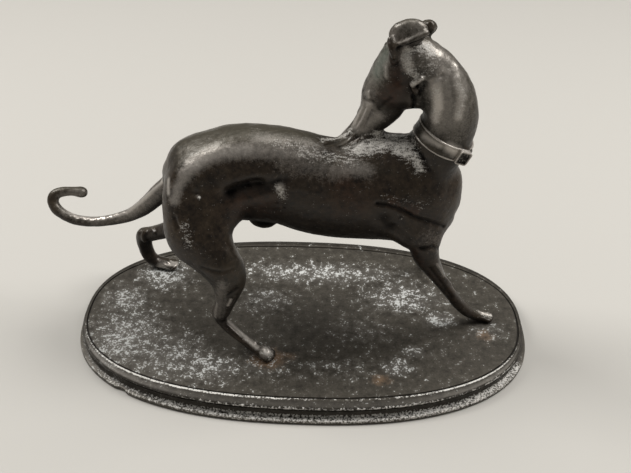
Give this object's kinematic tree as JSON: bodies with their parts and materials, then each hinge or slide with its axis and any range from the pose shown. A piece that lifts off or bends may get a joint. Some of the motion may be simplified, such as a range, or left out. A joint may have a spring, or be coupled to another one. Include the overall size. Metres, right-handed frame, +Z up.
{
  "type": "animal statuette",
  "caption": "Bronze whippet with a collar, head turned back to nip its own back, tail curled, standing on an oval base with a moulded edge.",
  "frame": {"origin": "middle of the base's flat underside", "axes": "+Z up, +X along the length of the base, towards the dog's chest; the dog's right side faces -Y"},
  "size_m": [0.2342, 0.1246, 0.1697],
  "materials": {
    "dog_bronze": "dark brown patina, satin, with pale dust in the hollows",
    "base_bronze": "grey-brown patina, mottled with pale oxidation"
  },
  "bodies": {
    "root": {"whippet": "dog_bronze", "base": "base_bronze"}
  },
  "joints": []
}
